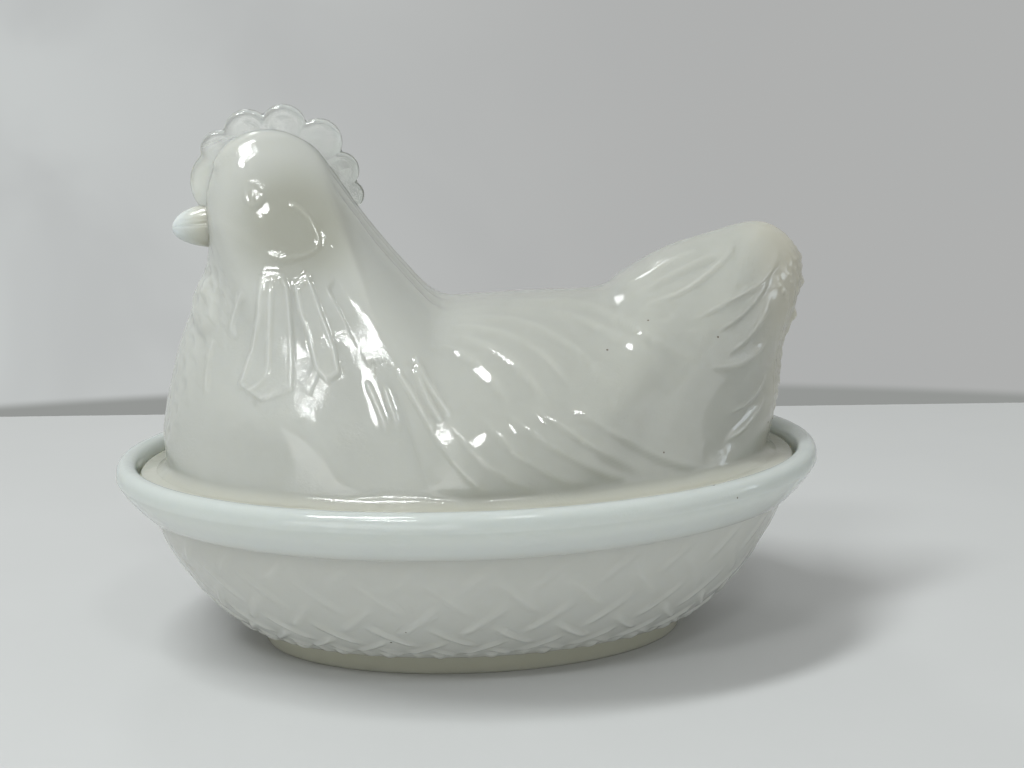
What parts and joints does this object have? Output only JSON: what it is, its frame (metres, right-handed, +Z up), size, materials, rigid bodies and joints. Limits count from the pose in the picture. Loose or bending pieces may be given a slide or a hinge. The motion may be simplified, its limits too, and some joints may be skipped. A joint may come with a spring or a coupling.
{
  "type": "hen on nest covered dish",
  "caption": "Oval pressed-glass covered dish: a low woven-pattern nest with a rolled rim, and a hollow sitting-hen lid that lifts off its ledge.",
  "frame": {"origin": "centre of the dish's foot, on the surface it stands on", "axes": "+Z up, X along the length with the hen facing -X, Y across"},
  "size_m": [0.178, 0.14, 0.1354],
  "materials": {
    "dish_glass": "glossy opal white pressed glass, thin edges bluish and slightly clear",
    "hen_glass": "glossy opal white pressed glass, a little warmer than the dish, nearly clear at the comb"
  },
  "bodies": {
    "nest": {"nest_dish": "dish_glass"},
    "hen": {"hen_lid": "hen_glass"}
  },
  "joints": [
    {"name": "lid_lift", "type": "slide", "parent": "nest", "child": "hen", "axis": [0, 0, 1], "range_m": [0, 0.08]}
  ]
}
